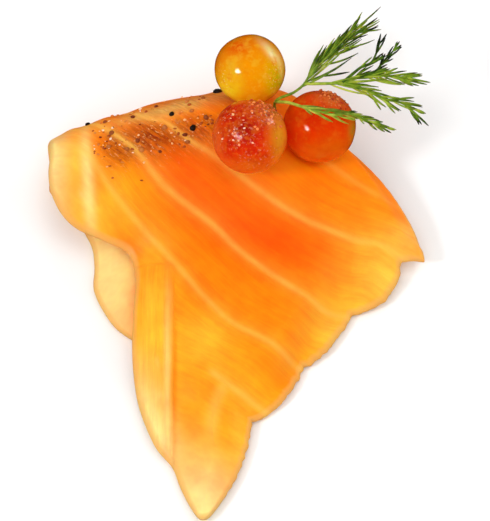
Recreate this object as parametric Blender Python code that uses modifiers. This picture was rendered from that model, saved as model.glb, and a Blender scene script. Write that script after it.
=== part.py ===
# Thin slice of salmon folded over on itself, carrying three roe beads, a dill sprig and coarse pepper.
# Lengths are millimetres in the slice's own plan: +X across the fold, +Y from the tip to the fold, +Z up.
# MM turns them into metres where a mesh is made.

import math
import random

import bmesh
import bpy
from mathutils import Vector

MM = 0.001
# Direction that the shown side faces
SHOWN_FROM = Vector((0, -0.469, 0.883))

# Sheet of flesh
THICKNESS = 2.6
EDGE_THICKNESS = 1.3
EDGE_TAPER = 3.6
LAYER_GAP = 0.4
SEPTUM_DEPTH = 0.28
SEPTUM_WIDTH = 1.9
COLUMNS = 28
FRONT_ROWS = 38
LOOP_ROWS = 11
BACK_ROWS = 9

# Line of the fold: its place along Y and its outer radius, at places along X
RIDGE = [
    (-27, 17.6), (-21, 17.9), (-12, 19.9), (-4, 21.8), (1, 22.7), (6, 22.3), (10, 21.0), (14, 18.8), (24, 12),
]
LOOP_RADIUS = [
    (-27, 4.0), (-21, 4.9), (-14, 5.4), (1, 5.5), (5, 5.0), (9.6, 4.1), (13, 3.6), (17, 3.0), (24, 2.6),
]
FOLD_LEFT = -25.4
FOLD_RIGHT = 12.6
# Share of the fold's height that is left at a distance in front of the fold
RAMP = [(0, 1.0), (3, 0.96), (6, 0.84), (9, 0.57), (12, 0.26), (15, 0.07), (18, 0.0), (60, 0.0)]

# Edges of the upper layer, from the tip to the fold
LEFT_EDGE = [
    (-6.2, -31.8), (-7.2, -30.0), (-8.3, -27.6), (-9.4, -24.6), (-11.7, -21.6), (-13.6, -16.5),
    (-14.5, -11.0), (-14.5, -5.0), (-14.2, 1.0), (-15.2, 4.6), (-18.4, 6.2), (-21.8, 7.6), (-23.9, 9.6),
    (-25.2, 12.4), (-25.6, 15.2),
]
TIP_REACH = 0.6
ROW_ARCH = 0.2
# Notches in the right edge, each with the bulge of the lobe after it and where that peaks
RIGHT_LOBES = [
    ((-4.3, -31.6), 1.1, 0.50),
    ((0.9, -18.2), 1.2, 0.40),
    ((7.6, -10.2), 0.9, 0.25),
    ((14.0, -2.6), 1.9, 0.50),
    ((20.3, 4.5), -0.25, 0.50),
    ((23.5, 4.2), 1.8, 0.60),
]
# Ends of the sheet across the fold's outside, by degrees from its top, and edges of the layer underneath
LOOP_LEFT = [(0, FOLD_LEFT), (90, -25.8), (180, -25.4)]
LOOP_RIGHT = [(0, FOLD_RIGHT), (90, 11.5), (180, 10.5)]
BACK_LEFT = [
    (-25.4, 17.7), (-25.5, 15.5), (-23.0, 12.8), (-20.2, 8.0), (-19.6, 4.5), (-19.6, 0.8), (-17.5, -3.5),
    (-15.4, -5.6), (-12.6, -7.2),
]
BACK_RIGHT = [(10.5, 20.7), (9.6, 14.0), (8.0, 6.0), (6.0, -1.0), (3.0, -7.6)]
BACK_REACH = 1.4
# Where the upper layer starts to fall from the layer underneath to the floor, and how long it takes
CARRIED_FRONT = [(-16, -7.5), (-13, -8.9), (-5, -9.9), (3, -8.1), (9, -0.5), (14, 7.5)]
CARRIED_SIDE = [(-8, 4.5), (-1, 6.9), (6, 8.9), (14, 10.5), (22, 11.5)]
FRONT_FALL = 7.5
SIDE_FALL = 9.0

# White lines between the muscle layers, as points of the flattened sheet
SEPTA = [
    [(-22, -8.5), (-12.0, -9.5), (-6.0, -11.8), (-2.2, -14.0), (-0.6, -15.0), (2.3, -16.8), (4.0, -17.6)],
    [(-24, 19), (-20.5, 16.5), (-17.0, 11.0), (-11.7, 5.6), (-8.0, 1.3), (-5.6, -1.9), (-1.9, -5.8),
     (1.8, -8.0), (6.7, -10.6), (9.0, -11.2)],
    [(-24, 27), (-18.0, 20.0), (-14.3, 16.7), (-10.7, 12.3), (-4.3, 8.0), (-0.6, 4.3), (4.8, 0.0),
     (9.7, -2.9), (14.5, -3.2)],
    [(-22, 32), (-13.7, 22.2), (-10.5, 20.6), (-7.0, 17.8), (-4.7, 16.4), (0.0, 13.4), (5.0, 10.3),
     (9.7, 7.8), (13.9, 6.7), (17.5, 6.2), (21.0, 4.4)],
    [(-12, 34), (-5.0, 27.0), (2.0, 23.0), (8.0, 18.5), (14.0, 14.2), (21.0, 11.0)],
]

# Soft creases of the lying flap: path, height of the swell beside it and its width
CREASES = [
    ([(-9.6, 3.0), (-9.4, -6.0), (-9.2, -15.0), (-8.6, -24.0)], 0.75, 2.0),
    ([(-1.8, -12.5), (-3.4, -16.0), (-4.2, -20.0), (-3.4, -25.5)], 0.45, 1.6),
]
CREASE_FADE = 5.0
CREASE_STEEP_SIDE = 0.45
CREASE_DIP = 0.25
LOBE_LIFT = 0.45
LOBE_LIFT_REACH = 6.0
LOBE_HALF_WIDTH = 3.5

# Beads of roe: centre and radius
BEADS = {
    "roe_front": ((0.6, 16.2, 14.6), 4.85),
    "roe_top": ((0.65, 26.3, 14.35), 4.6),
    "roe_right": ((9.65, 19.15, 11.9), 4.75),
}
BEAD_SQUASH = 0.97
BEAD_SEGMENTS = 24
BEAD_RINGS = 12
CLEARANCE = 0.3
SEAT_SOFTNESS = 0.7

# Pepper: the grains that stand out, as share across the fold, distance ahead of its top, and size
PEPPER_PLACES = [
    (0.139, -4.6, 0.9), (0.587, -4.2, 1.3), (0.42, -1.1, 0.8), (0.455, 3.2, 0.9), (0.52, 5.4, 0.8),
]
PEPPER_SCATTER = 16
PEPPER_ACROSS = (0.17, 0.54)
PEPPER_AHEAD = (-4.0, 7.0)
PEPPER_SIZE = (0.55, 0.85)
PEPPER_SPACING = 1.7
PEPPER_FLATNESS = 0.7
PEPPER_SEED = 7

# Dill: stems as points, with how far up each its pairs of leaflets begin, their number, length and angle
STEM_RADIUS = 0.34
STEM_TIP = 0.5
CAP_WELD = 1e-6
LEAFLET_RADIUS = 0.25
LEAFLET_BEND = 0.2
LEAFLET_SHORTENING = 0.45
DILL_SEED = 3
FRONDS = [
    ([(4.3, 20.5, 10.8), (3.9, 20.9, 15.4), (6.3, 21.1, 17.5), (7.7, 21.8, 18.6), (8.5, 23.0, 19.2),
      (11.0, 25.5, 20.2), (12.9, 27.3, 20.6), (15.4, 30.4, 20.9)], 0.52, 8, 4.2, 24),
    ([(7.7, 21.8, 18.6), (10.2, 21.7, 18.8), (12.6, 21.8, 18.9), (14.1, 22.5, 18.8), (17.1, 23.2, 18.2),
      (22.4, 23.7, 16.6)], 0.45, 4, 3.8, 20),
    ([(12.6, 21.8, 18.9), (14.9, 23.6, 19.6), (16.5, 24.4, 20.0), (17.6, 27.6, 20.2)], 0.4, 2, 3.4, 22),
    ([(14.1, 22.5, 18.8), (16.8, 23.6, 18.6), (17.8, 24.8, 18.9), (19.6, 26.9, 19.1)], 0.5, 2, 2.8, 20),
    ([(12.6, 21.8, 18.9), (15.6, 21.5, 17.5), (18.0, 20.7, 16.5), (20.0, 20.8, 15.5), (21.4, 20.4, 14.5),
      (22.6, 19.7, 13.0)], 0.3, 4, 2.8, 26),
    ([(3.9, 20.9, 15.4), (5.6, 20.0, 16.8), (7.8, 18.9, 17.4), (9.6, 18.2, 17.7), (11.4, 17.9, 17.4),
      (13.6, 18.6, 16.2), (17.0, 18.7, 13.3), (19.0, 18.3, 12.0)], 0.45, 4, 2.8, 24),
]

ORANGE_FLESH = (0.93, 0.33, 0.03, 1)
YELLOW_ROE = (0.95, 0.36, 0.02, 1)
RED_ROE = (0.75, 0.08, 0.01, 1)
DILL_GREEN = (0.16, 0.30, 0.04, 1)


def smooth_step(x):
    x = min(max(x, 0.0), 1.0)
    return x * x * (3.0 - 2.0 * x)


def value_at(knots, x):
    """The smooth curve through (place, value) knots, read at x and held flat past its ends."""
    if x <= knots[0][0]:
        return knots[0][1]
    if x >= knots[-1][0]:
        return knots[-1][1]
    i = next(k for k in range(1, len(knots)) if x <= knots[k][0])
    (x0, y0), (x1, y1) = knots[i - 1], knots[i]
    before, after = knots[max(i - 2, 0)], knots[min(i + 1, len(knots) - 1)]
    slope0 = (y1 - before[1]) / (x1 - before[0])
    slope1 = (after[1] - y0) / (after[0] - x0)
    span = x1 - x0
    t = (x - x0) / span
    return (
        (2 * t**3 - 3 * t**2 + 1) * y0
        + (t**3 - 2 * t**2 + t) * span * slope0
        + (3 * t**2 - 2 * t**3) * y1
        + (t**3 - t**2) * span * slope1
    )


def curve_through(points, steps=10):
    """Points of a Catmull-Rom curve through the given points."""
    points = [Vector(p) for p in points]
    ends = [2 * points[0] - points[1], *points, 2 * points[-1] - points[-2]]
    made = []
    for a, b, c, d in zip(ends, ends[1:], ends[2:], ends[3:]):
        for k in range(steps):
            t = k / steps
            bend = (2 * a - 5 * b + 4 * c - d) * t**2 + (3 * b - a - 3 * c + d) * t**3
            made.append(b + 0.5 * ((c - a) * t + bend))
    return [*made, points[-1]]


class Path:
    """A line of points that can be read at a share of its length."""

    def __init__(self, points):
        self.points = [Vector(p) for p in points]
        self.along = [0.0]
        for a, b in zip(self.points, self.points[1:]):
            self.along.append(self.along[-1] + (b - a).length)
        self.length = self.along[-1]

    def at(self, share):
        goal = min(max(share, 0.0), 1.0) * self.length
        i = next(k for k in range(1, len(self.along)) if self.along[k] >= goal - 1e-9)
        step = self.along[i] - self.along[i - 1]
        return self.points[i - 1].lerp(self.points[i], (goal - self.along[i - 1]) / step)

    def nearest(self, point):
        """Distance to the line, the nearest point's share of its length, and the side: 1 left, -1 right."""
        best = (1e9, 0.0, 1.0)
        for i, (a, b) in enumerate(zip(self.points, self.points[1:])):
            run = b - a
            t = min(max((point - a).dot(run) / run.length_squared, 0.0), 1.0)
            away = point - a - run * t
            if away.length < best[0]:
                side = 1.0 if run.x * away.y - run.y * away.x > 0 else -1.0
                best = (away.length, (self.along[i] + run.length * t) / self.length, side)
        return best


def lobed_edge(lobes, end, steps=14):
    """The right edge: a bent line from each notch to the next, bulging outwards."""
    made = []
    stops = [Vector(lobe[0]) for lobe in lobes] + [Vector(end)]
    for a, b, (_, bulge, peak) in zip(stops, stops[1:], lobes):
        outwards = Vector((b.y - a.y, a.x - b.x)).normalized()
        corner = a.lerp(b, peak) + outwards * bulge * 2
        for k in range(steps):
            t = k / steps
            made.append(a.lerp(corner, t).lerp(corner.lerp(b, t), t))
    return [*made, stops[-1]]


LEFT = Path(curve_through([*LEFT_EDGE, (FOLD_LEFT, value_at(RIDGE, FOLD_LEFT))]))
RIGHT = Path(lobed_edge(RIGHT_LOBES, (FOLD_RIGHT, value_at(RIDGE, FOLD_RIGHT))))
UNDER_LEFT = Path(curve_through(BACK_LEFT))
UNDER_RIGHT = Path(curve_through(BACK_RIGHT))
SEPTUM_PATHS = [Path(curve_through(points, 4)) for points in SEPTA]
CREASE_PATHS = [(Path(curve_through(points, 4)), height, width) for points, height, width in CREASES]


def ridge_bow(x_left, x_right, x):
    """How far the fold's line stands past the straight line between two of its points."""
    share = (x - x_left) / (x_right - x_left)
    straight = value_at(RIDGE, x_left) * (1 - share) + value_at(RIDGE, x_right) * share
    return value_at(RIDGE, x) - straight


def upper_place(across, along):
    """Plan position on the upper layer, for shares from left to right and from the tip to the fold."""
    left, right = LEFT.at(along), RIGHT.at(along)
    place = left.lerp(right, across)
    middle = 4 * across * (1 - across)
    arch = ROW_ARCH * (right - left).length * smooth_step(along / 0.15) * smooth_step((1 - along) / 0.4)
    place.y += middle * (arch - TIP_REACH * smooth_step(1 - along / 0.1))
    place.y += ridge_bow(left.x, right.x, place.x) * smooth_step((along - 0.55) / 0.45)
    return place


def under_place(across, along):
    """Plan position on the layer underneath, from the fold to its hidden front end."""
    left, right = UNDER_LEFT.at(along), UNDER_RIGHT.at(along)
    place = left.lerp(right, across)
    place.y += ridge_bow(left.x, right.x, place.x) * smooth_step(1 - along / 0.5)
    place.y -= BACK_REACH * math.sin(math.pi * across) * smooth_step((along - 0.5) / 0.5)
    return place


def edge_share(across, width, end_distance):
    """0 on the sheet's edge, rising to 1 where the sheet has its full thickness."""
    side = min(across, 1 - across) * width
    return smooth_step(min(side, end_distance) / EDGE_TAPER)


def sheet_thickness(edge):
    return EDGE_THICKNESS + (THICKNESS - EDGE_THICKNESS) * edge


def carried_height(place):
    """Height of the upper layer's underside on the layer underneath, falling to the floor past that."""
    past_front = value_at(CARRIED_FRONT, place.x) - place.y
    past_side = place.x - value_at(CARRIED_SIDE, place.y)
    carried = smooth_step(1 - past_front / FRONT_FALL) * smooth_step(1 - past_side / SIDE_FALL)
    return (THICKNESS + LAYER_GAP) * carried


def crease_height(place):
    """Swell to the right of each crease and a dip to its left, dying out towards its ends."""
    height = 0.0
    for path, swell, width in CREASE_PATHS:
        distance, share, side = path.nearest(place)
        fade = smooth_step(min(share, 1 - share) * path.length / CREASE_FADE)
        reach = distance / (width if side < 0 else CREASE_STEEP_SIDE * width)
        height += swell * fade * reach * math.exp(1 - reach) * (1 if side < 0 else -CREASE_DIP)
    return height


def septum_groove(flat_place):
    """Depth of the shallow groove along each white line."""
    distance = min(path.nearest(flat_place)[0] for path in SEPTUM_PATHS)
    return SEPTUM_DEPTH * math.exp(-((distance / SEPTUM_WIDTH) ** 2))


def lobe_lift(place, across, width):
    """The lobes between the notches stand a little off the floor at the right edge."""
    near_edge = 1 - smooth_step((1 - across) * width / LOBE_LIFT_REACH)
    distance = min(path.nearest(place)[0] for path in SEPTUM_PATHS)
    return LOBE_LIFT * near_edge * smooth_step(distance / LOBE_HALF_WIDTH)


def upper_point(across, along, depth):
    """Point of the upper layer, from its outer face at depth 0 to its inner face at depth 1."""
    place = upper_place(across, along)
    width = (RIGHT.at(along) - LEFT.at(along)).length
    edge = edge_share(across, width, along * LEFT.length)
    thickness = sheet_thickness(edge)
    ramp = value_at(RAMP, value_at(RIDGE, place.x) - place.y)
    carried = carried_height(place)
    top_of_fold = 2 * value_at(LOOP_RADIUS, place.x) - THICKNESS
    under = carried + (top_of_fold - carried) * ramp
    under = max(under + (crease_height(place) + lobe_lift(place, across, width)) * (1 - ramp), 0.0)
    groove = septum_groove(place) * edge
    return Vector((place.x, place.y, under + (thickness - groove) * (1 - depth)))


def loop_point(across, degrees, depth):
    """Point of the fold's back, at an angle from its top."""
    x_left, x_right = value_at(LOOP_LEFT, degrees), value_at(LOOP_RIGHT, degrees)
    x = x_left + (x_right - x_left) * across
    edge = edge_share(across, x_right - x_left, EDGE_TAPER)
    thickness = sheet_thickness(edge)
    radius = value_at(LOOP_RADIUS, x) - (THICKNESS - thickness) / 2
    angle = math.radians(degrees)
    flat_place = Vector((x, value_at(RIDGE, x) + radius * angle))
    groove = septum_groove(flat_place) * edge * smooth_step((150 - degrees) / 60)
    reach = radius - groove * (1 - depth) - thickness * depth
    return Vector((x, value_at(RIDGE, x) + reach * math.sin(angle), radius + reach * math.cos(angle)))


def under_point(across, along, depth):
    """Point of the layer underneath, whose outer face is the flat one that the slice rests on."""
    place = under_place(across, along)
    width = (UNDER_RIGHT.at(along) - UNDER_LEFT.at(along)).length
    edge = edge_share(across, width, (1 - along) * UNDER_LEFT.length)
    return Vector((place.x, place.y, sheet_thickness(edge) * depth))


def seated(point):
    """The point pushed clear of the beads, with the flesh round each one easing down into its seat."""
    for centre, radius in BEADS.values():
        away = point - Vector(centre)
        distance = away.length
        wanted = radius + CLEARANCE
        reach = distance - wanted
        if reach < SEAT_SOFTNESS:
            eased = wanted + SEAT_SOFTNESS * math.exp((reach - SEAT_SOFTNESS) / SEAT_SOFTNESS)
            point = Vector(centre) + away * (max(eased, wanted) / distance)
    return point


def sheet_point(across, row, depth):
    """Point at a share across the sheet and a row counted from the tip, over the fold, to underneath."""
    if row <= FRONT_ROWS:
        point = upper_point(across, row / FRONT_ROWS, depth)
    elif row <= FRONT_ROWS + LOOP_ROWS:
        point = loop_point(across, 180 * (row - FRONT_ROWS) / LOOP_ROWS, depth)
    else:
        point = under_point(across, (row - FRONT_ROWS - LOOP_ROWS) / BACK_ROWS, depth)
    return seated(point) if depth == 0 else point


def clear_scene():
    for obj in list(bpy.data.objects):
        bpy.data.objects.remove(obj)


def new_collection(name):
    made = bpy.data.collections.new(name)
    bpy.context.scene.collection.children.link(made)
    return made


def move_to(obj, collection):
    for owner in list(obj.users_collection):
        owner.objects.unlink(obj)
    collection.objects.link(obj)


def new_material(name, colour, roughness):
    made = bpy.data.materials.new(name)
    made.use_nodes = True
    shader = made.node_tree.nodes["Principled BSDF"]
    shader.inputs["Base Color"].default_value = colour
    shader.inputs["Roughness"].default_value = roughness
    shader.inputs["Metallic"].default_value = 0.0
    return made


def apply_modifiers(obj):
    """Replaces the object's mesh with the mesh that its modifiers make."""
    graph = bpy.context.evaluated_depsgraph_get()
    made = bpy.data.meshes.new_from_object(obj.evaluated_get(graph))
    obj.modifiers.clear()
    obj.data = made


def join_pieces(obj, pieces):
    """Fuses a collection's pieces into the object by one union, and removes them."""
    union = obj.modifiers.new("Join", "BOOLEAN")
    union.operation = "UNION"
    union.operand_type = "COLLECTION"
    union.collection = pieces
    union.solver = "EXACT"
    apply_modifiers(obj)
    for piece in list(pieces.objects):
        bpy.data.objects.remove(piece)
    bpy.data.collections.remove(pieces)


def make_sheet(name):
    """The folded sheet: a flat solid made from a grid, with each of its points moved to its place."""
    rows = FRONT_ROWS + LOOP_ROWS + BACK_ROWS
    bpy.ops.mesh.primitive_grid_add(x_subdivisions=COLUMNS, y_subdivisions=rows, size=1)
    obj = bpy.context.object
    obj.name = name
    wall = obj.modifiers.new("Thickness", "SOLIDIFY")
    wall.thickness = 1
    wall.offset = -1
    apply_modifiers(obj)
    for vertex in obj.data.vertices:
        across, along, depth = vertex.co.x + 0.5, vertex.co.y + 0.5, -vertex.co.z
        vertex.co = sheet_point(across, round(along * rows), round(depth)) * MM
    return obj


def pepper_spots():
    """Share across, distance ahead of the fold's top and size of each grain: the clear ones, then a scatter."""
    random.seed(PEPPER_SEED)
    span = FOLD_RIGHT - FOLD_LEFT
    spots = list(PEPPER_PLACES)
    while len(spots) < len(PEPPER_PLACES) + PEPPER_SCATTER:
        across, ahead = random.uniform(*PEPPER_ACROSS), random.uniform(*PEPPER_AHEAD)
        apart = min(math.hypot((across - spot[0]) * span, ahead - spot[1]) for spot in spots)
        if apart > PEPPER_SPACING:
            spots.append((across, ahead, random.uniform(*PEPPER_SIZE)))
    return spots


def skin_point(across, ahead):
    """Point of the outer face near the fold's top, with places behind it counted as negative."""
    if ahead < 0:
        return seated(loop_point(across, math.degrees(-ahead / LOOP_RADIUS[1][1]), 0))
    return seated(upper_point(across, 1 - ahead / LEFT.length, 0))


def add_pepper(sheet):
    grains = new_collection("pepper")
    for across, ahead, size in pepper_spots():
        bpy.ops.mesh.primitive_ico_sphere_add(subdivisions=1, radius=size / 2 * MM)
        grain = bpy.context.object
        grain.location = skin_point(across, ahead) * MM
        grain.rotation_euler = [random.uniform(0, math.pi) for _ in range(3)]
        grain.scale = (1, 0.85, PEPPER_FLATNESS)
        move_to(grain, grains)
    join_pieces(sheet, grains)


def make_bead(name, centre, radius):
    bpy.ops.mesh.primitive_uv_sphere_add(segments=BEAD_SEGMENTS, ring_count=BEAD_RINGS, radius=radius * MM)
    bead = bpy.context.object
    bead.name = name
    bead.location = Vector(centre) * MM
    bead.scale = (1, 1, BEAD_SQUASH)
    bead.data.shade_smooth()
    return bead


def clear_of_beads(point, room):
    for centre, radius in BEADS.values():
        away = point - Vector(centre)
        if away.length < radius + room:
            point = Vector(centre) + away.normalized() * (radius + room)
    return point


def leaflet_paths(stem, first, pairs, longest, spread):
    """The leaflets of one stem: pairs that lean forwards and shorten towards its end."""
    stem = Path(curve_through(stem))
    made = []
    for k in range(pairs):
        share = first + (0.97 - first) * k / (pairs - 1)
        root = stem.at(share)
        ahead = (stem.at(min(share + 0.06, 1.0)) - stem.at(share - 0.06)).normalized()
        sideways = ahead.cross(SHOWN_FROM).normalized()
        upwards = sideways.cross(ahead)
        for side in (-1, 1):
            angle = math.radians(spread * random.uniform(0.7, 1.3))
            length = longest * (1 - LEAFLET_SHORTENING * k / pairs) * random.uniform(0.8, 1.15)
            lean = sideways * side * math.sin(angle) + upwards * random.uniform(-0.15, 0.15)
            course = (ahead * math.cos(angle) + lean).normalized()
            bend = (ahead - course) * LEAFLET_BEND * length
            made.append([root, root + course * length * 0.5 + bend * 0.25, root + course * length + bend])
    return made


def make_tube(points, radius, collection):
    """A thin stem as a solid: a curve with a round bevel that tapers to its tip."""
    data = bpy.data.curves.new("stem", "CURVE")
    data.dimensions = "3D"
    data.bevel_depth = radius * MM
    data.bevel_resolution = 0
    data.use_fill_caps = True
    spline = data.splines.new("POLY")
    spline.points.add(len(points) - 1)
    for k, point in enumerate(points):
        spline.points[k].co = (*(clear_of_beads(point, radius + CLEARANCE) * MM), 1)
        spline.points[k].radius = 1 - (1 - STEM_TIP) * k / (len(points) - 1)
    curve = bpy.data.objects.new("stem", data)
    bpy.context.scene.collection.objects.link(curve)
    graph = bpy.context.evaluated_depsgraph_get()
    mesh = bpy.data.meshes.new_from_object(curve.evaluated_get(graph))
    bpy.data.objects.remove(curve)
    welded = bmesh.new()
    welded.from_mesh(mesh)
    bmesh.ops.remove_doubles(welded, verts=welded.verts, dist=CAP_WELD)
    welded.to_mesh(mesh)
    welded.free()
    collection.objects.link(bpy.data.objects.new("tube", mesh))


def make_dill(name):
    random.seed(DILL_SEED)
    tubes = new_collection("dill_tubes")
    for stem, first, pairs, longest, spread in FRONDS:
        make_tube(curve_through(stem, 3), STEM_RADIUS, tubes)
        for points in leaflet_paths(stem, first, pairs, longest, spread):
            make_tube(points, LEAFLET_RADIUS, tubes)
    sprig = tubes.objects[0]
    move_to(sprig, bpy.context.scene.collection)
    sprig.name = name
    join_pieces(sprig, tubes)
    return sprig


def centre_on_origin(objects):
    """Moves the parts so that the middle of their footprint is the origin."""
    bpy.context.view_layer.update()
    corners = [obj.matrix_world @ vertex.co for obj in objects for vertex in obj.data.vertices]
    middle_x = (min(c.x for c in corners) + max(c.x for c in corners)) / 2
    middle_y = (min(c.y for c in corners) + max(c.y for c in corners)) / 2
    for obj in objects:
        obj.location -= Vector((middle_x, middle_y, 0))


def build():
    clear_scene()
    whole = new_collection("salmon_sashimi_slice")

    sheet = make_sheet("salmon_slice")
    add_pepper(sheet)
    sheet.data.materials.append(new_material("salmon", ORANGE_FLESH, 0.35))
    parts = [sheet]

    yellow = new_material("roe_yellow", YELLOW_ROE, 0.1)
    red = new_material("roe_red", RED_ROE, 0.1)
    for name, (centre, radius) in BEADS.items():
        bead = make_bead(name, centre, radius)
        bead.data.materials.append(yellow if name == "roe_top" else red)
        parts.append(bead)

    dill = make_dill("dill_sprig")
    dill.data.materials.append(new_material("dill", DILL_GREEN, 0.5))
    parts.append(dill)

    for part in parts:
        move_to(part, whole)
    centre_on_origin(parts)


build()
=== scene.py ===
# Looks of the folded salmon slice with its roe, dill and pepper.
# Lengths are millimetres in the slice's own plan: +X across the fold, +Y from the tip to the fold, +Z up.
# MM turns them into metres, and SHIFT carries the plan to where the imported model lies.

import math
import random

import bmesh
import bpy
import numpy as np
from mathutils import Matrix, Vector, noise


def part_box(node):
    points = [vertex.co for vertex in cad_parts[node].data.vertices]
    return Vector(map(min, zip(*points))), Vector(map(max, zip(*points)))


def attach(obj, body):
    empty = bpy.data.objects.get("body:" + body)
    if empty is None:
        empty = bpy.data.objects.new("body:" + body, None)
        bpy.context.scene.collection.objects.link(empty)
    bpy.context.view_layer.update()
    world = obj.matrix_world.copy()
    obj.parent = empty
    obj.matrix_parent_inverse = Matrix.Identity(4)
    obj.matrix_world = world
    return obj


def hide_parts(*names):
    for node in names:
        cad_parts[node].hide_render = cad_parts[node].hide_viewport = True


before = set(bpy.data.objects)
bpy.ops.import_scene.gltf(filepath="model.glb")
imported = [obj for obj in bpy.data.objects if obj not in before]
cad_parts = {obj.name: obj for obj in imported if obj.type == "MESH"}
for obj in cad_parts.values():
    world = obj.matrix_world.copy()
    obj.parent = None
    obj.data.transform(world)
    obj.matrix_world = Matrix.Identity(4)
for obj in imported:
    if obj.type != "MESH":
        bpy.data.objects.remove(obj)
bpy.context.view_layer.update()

MM = 0.001

# Camera: the photograph's size in pixels and scale, and the angle that the slice is seen from
IMAGE_WIDTH, IMAGE_HEIGHT = 490, 521
PIXEL = 0.13
ELEVATION = math.radians(62)
CAMERA_DISTANCE = 1.0
SENSOR = 36.0
# Height of the picture's middle in the plane of the picture
AIM = 5.135

# Lamps: direction, distance and size in metres, power in watts, and whether wet surfaces mirror them
LAMPS = [
    ("key", (-0.62, -0.35, 0.7), 0.6, 0.14, 1.2, True),
    ("top", (0.0, -0.1, 1.0), 0.8, 0.9, 2.9, False),
    ("front", (-0.2, -0.8, 0.7), 0.7, 0.5, 0.8, False),
    ("fill", (0.8, -0.2, 0.6), 0.7, 0.5, 0.95, False),
    ("back", (0.1, 0.9, 0.55), 0.7, 0.4, 0.8, False),
    ("rim", (0.8, 0.55, 0.3), 0.6, 0.16, 0.4, True),
]
WORLD_STRENGTH = 0.32
FLOOR_SHADES = (0.93, 0.93, 0.925, 1.0), (0.95, 0.95, 0.945, 1.0)
FLOOR_REACH = 4.0
FLOOR_DROP = 0.0001

# Sheet of flesh, as in the solid
THICKNESS = 2.6
EDGE_THICKNESS = 1.3
EDGE_TAPER = 3.6
LAYER_GAP = 0.4
SEPTUM_DEPTH = 0.28
SEPTUM_WIDTH = 1.9
GROOVE_END, GROOVE_FADE = 150, 60
RIDGE = [
    (-27, 17.6), (-21, 17.9), (-12, 19.9), (-4, 21.8), (1, 22.7), (6, 22.3), (10, 21.0), (14, 18.8),
    (24, 12),
]
LOOP_RADIUS = [
    (-27, 4.0), (-21, 4.9), (-14, 5.4), (1, 5.5), (5, 5.0), (9.6, 4.1), (13, 3.6), (17, 3.0), (24, 2.6),
]
FOLD_LEFT = -25.4
FOLD_RIGHT = 12.6
RAMP = [(0, 1.0), (3, 0.96), (6, 0.84), (9, 0.57), (12, 0.26), (15, 0.07), (18, 0.0), (60, 0.0)]
LEFT_EDGE = [
    (-6.2, -31.8), (-7.2, -30.0), (-8.3, -27.6), (-9.4, -24.6), (-11.7, -21.6), (-13.6, -16.5),
    (-14.5, -11.0), (-14.5, -5.0), (-14.2, 1.0), (-15.2, 4.6), (-18.4, 6.2), (-21.8, 7.6), (-23.9, 9.6),
    (-25.2, 12.4), (-25.6, 15.2),
]
TIP_REACH = 0.6
TIP_SHARE = 0.1
ROW_ARCH = 0.2
ARCH_RISE, ARCH_FALL = 0.15, 0.4
BOW_SHARE = 0.45
BACK_BOW_SHARE = 0.5
RIGHT_LOBES = [
    ((-4.3, -31.6), 1.1, 0.50),
    ((0.9, -18.2), 1.2, 0.40),
    ((7.6, -10.2), 0.9, 0.25),
    ((14.0, -2.6), 1.9, 0.50),
    ((20.3, 4.5), -0.25, 0.50),
    ((23.5, 4.2), 1.8, 0.60),
]
LOOP_LEFT = [(0, FOLD_LEFT), (90, -25.8), (180, -25.4)]
LOOP_RIGHT = [(0, FOLD_RIGHT), (90, 11.5), (180, 10.5)]
BACK_LEFT = [
    (-25.4, 17.7), (-25.5, 15.5), (-23.0, 12.8), (-20.2, 8.0), (-19.6, 4.5), (-19.6, 0.8), (-17.5, -3.5),
    (-15.4, -5.6), (-12.6, -7.2),
]
BACK_RIGHT = [(10.5, 20.7), (9.6, 14.0), (8.0, 6.0), (6.0, -1.0), (3.0, -7.6)]
BACK_REACH = 1.4
CARRIED_FRONT = [(-16, -7.5), (-13, -8.9), (-5, -9.9), (3, -8.1), (9, -0.5), (14, 7.5)]
CARRIED_SIDE = [(-8, 4.5), (-1, 6.9), (6, 8.9), (14, 10.5), (22, 11.5)]
FRONT_FALL = 7.5
SIDE_FALL = 9.0
SEPTA = [
    [(-22, -8.5), (-12.0, -9.5), (-6.0, -11.8), (-2.2, -14.0), (-0.6, -15.0), (2.3, -16.8), (4.0, -17.6)],
    [(-24, 19), (-20.5, 16.5), (-17.0, 11.0), (-11.7, 5.6), (-8.0, 1.3), (-5.6, -1.9), (-1.9, -5.8),
     (1.8, -8.0), (6.7, -10.6), (9.0, -11.2)],
    [(-24, 27), (-18.0, 20.0), (-14.3, 16.7), (-10.7, 12.3), (-4.3, 8.0), (-0.6, 4.3), (4.8, 0.0),
     (9.7, -2.9), (14.5, -3.2)],
    [(-22, 32), (-13.7, 22.2), (-10.5, 20.6), (-7.0, 17.8), (-4.7, 16.4), (0.0, 13.4), (5.0, 10.3),
     (9.7, 7.8), (13.9, 6.7), (17.5, 6.2), (21.0, 4.4)],
    [(-12, 34), (-5.0, 27.0), (2.0, 23.0), (8.0, 18.5), (14.0, 14.2), (21.0, 11.0)],
]
CREASES = [
    ([(-9.6, 3.0), (-9.4, -6.0), (-9.2, -15.0), (-8.6, -24.0)], 0.75, 2.0),
    ([(-1.8, -12.5), (-3.4, -16.0), (-4.2, -20.0), (-3.4, -25.5)], 0.45, 1.6),
]
CREASE_FADE = 5.0
CREASE_STEEP_SIDE = 0.45
CREASE_DIP = 0.25
LOBE_LIFT = 0.45
LOBE_LIFT_REACH = 6.0
LOBE_HALF_WIDTH = 3.5
# Beads: middle and radius as in the solid, how flat they are, and how a skin is uneven and rippled here
BEADS = {
    "roe_front": ((0.6, 16.2, 14.6), 4.85),
    "roe_top": ((0.65, 26.3, 14.35), 4.6),
    "roe_right": ((9.65, 19.15, 11.9), 4.75),
}
BEAD_SQUASH = 0.97
BEAD_UNEVEN, BEAD_UNEVEN_SCALE = 0.02, 1.5
BEAD_RIPPLE, BEAD_RIPPLE_SCALE = 0.004, 5
BEAD_DETAIL = 6
CLEARANCE = 0.3
SEAT_SOFTNESS = 0.7

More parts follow.
